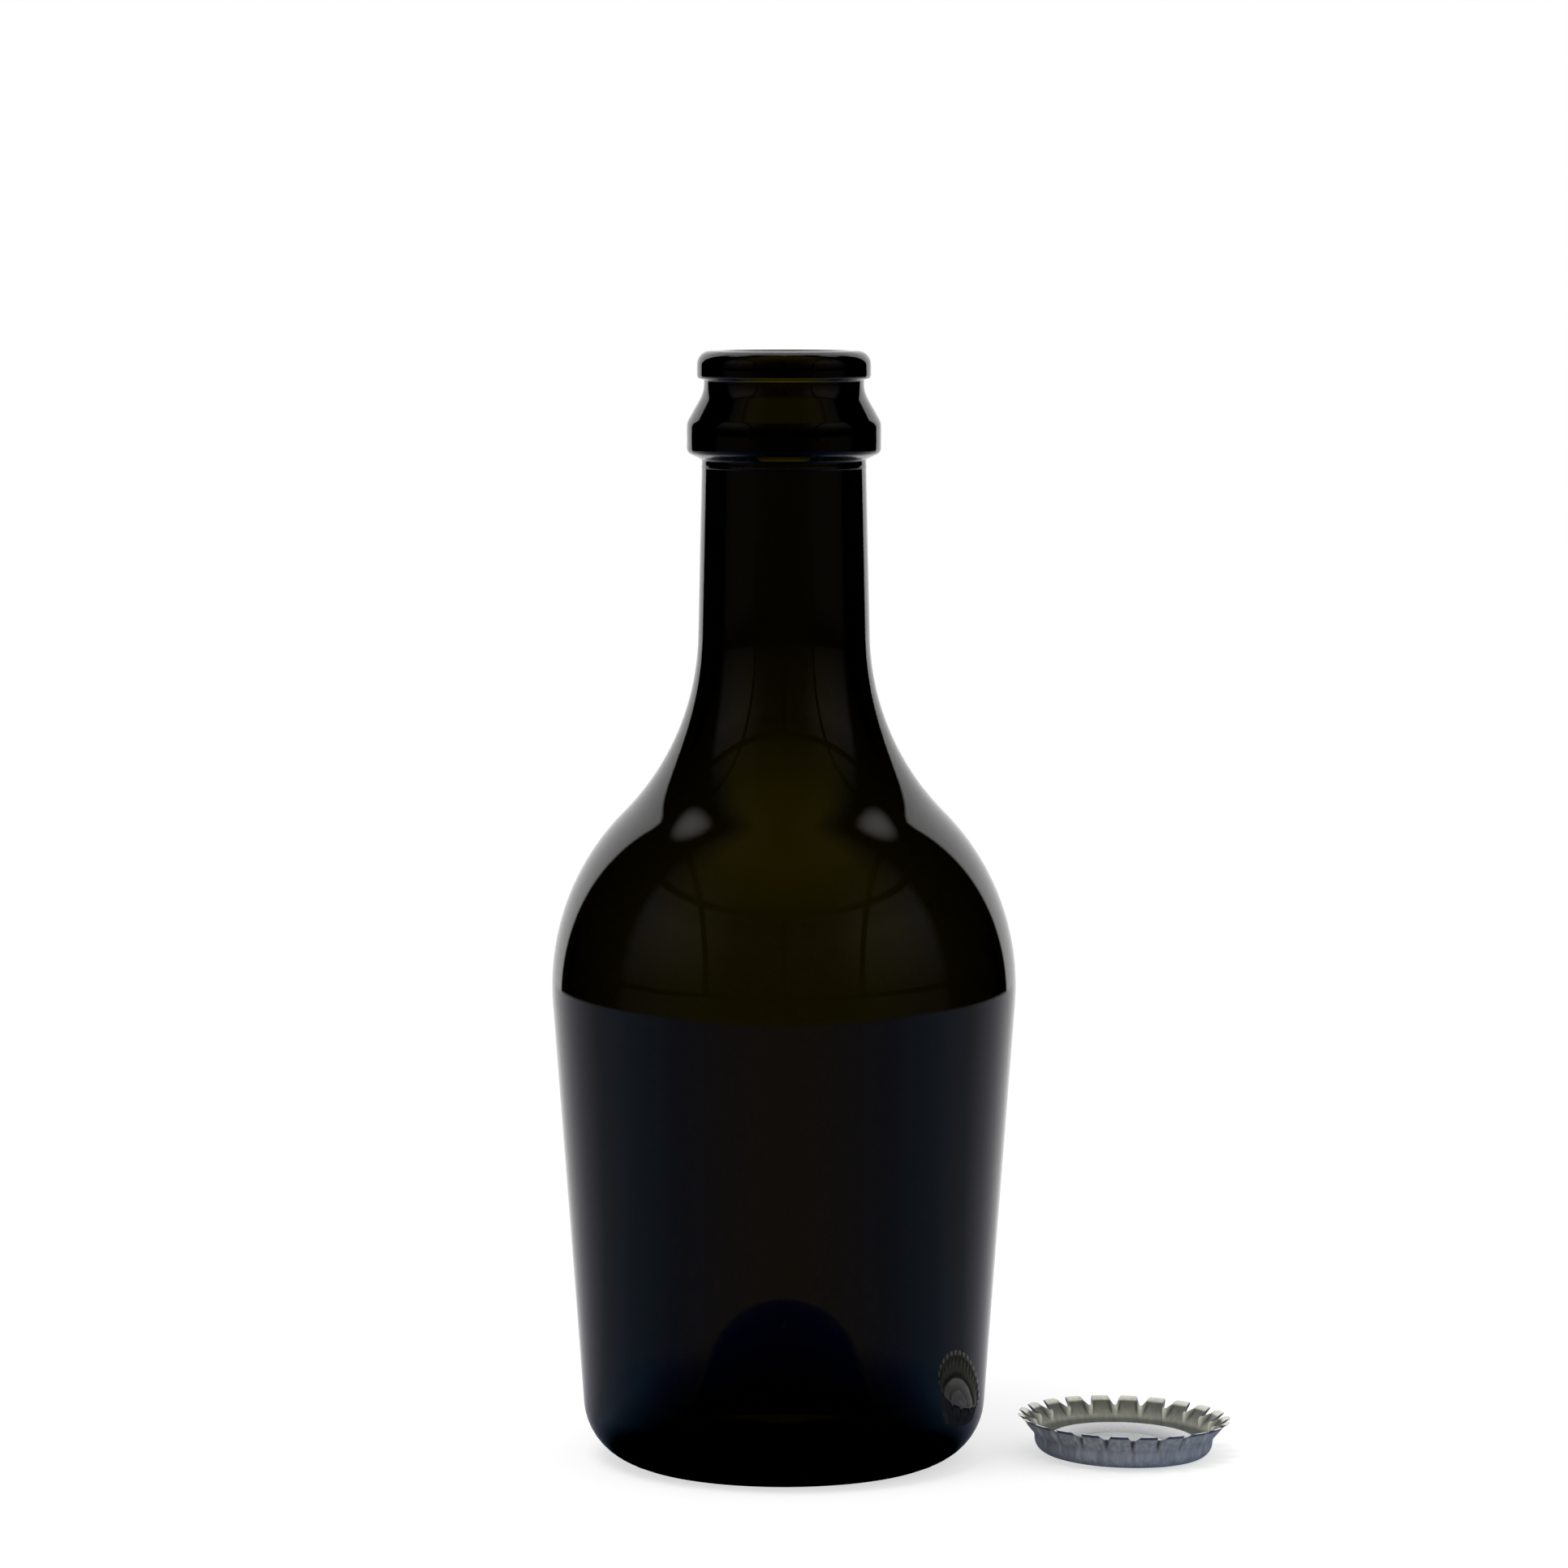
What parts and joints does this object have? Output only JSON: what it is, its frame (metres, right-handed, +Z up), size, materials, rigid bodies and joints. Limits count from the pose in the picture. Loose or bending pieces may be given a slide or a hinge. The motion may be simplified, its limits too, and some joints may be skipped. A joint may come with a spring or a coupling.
{
  "type": "crown cap bottle",
  "caption": "Dark green glass bottle with a rounded shoulder, a ringed crown finish, a knurled foot and a punt, standing open beside its crown cap, which lies skirt up with its liner showing.",
  "frame": {"origin": "on the bottle's axis, in the plane of the flat ring that it stands on", "axes": "+Z up along the bottle's axis to its mouth; +X from the bottle's axis to the cap that lies beside it; the pictured side faces -Y"},
  "size_m": [0.1133, 0.0774, 0.1852],
  "materials": {
    "bottle_glass": "very dark olive green container glass, polished",
    "tinplate": "bare tin-plated sheet, satin",
    "liner": "pale grey moulded sealing compound, satin"
  },
  "bodies": {
    "root": {"bottle": "bottle_glass", "crown_shell": "tinplate", "crown_liner": "liner"}
  },
  "joints": []
}
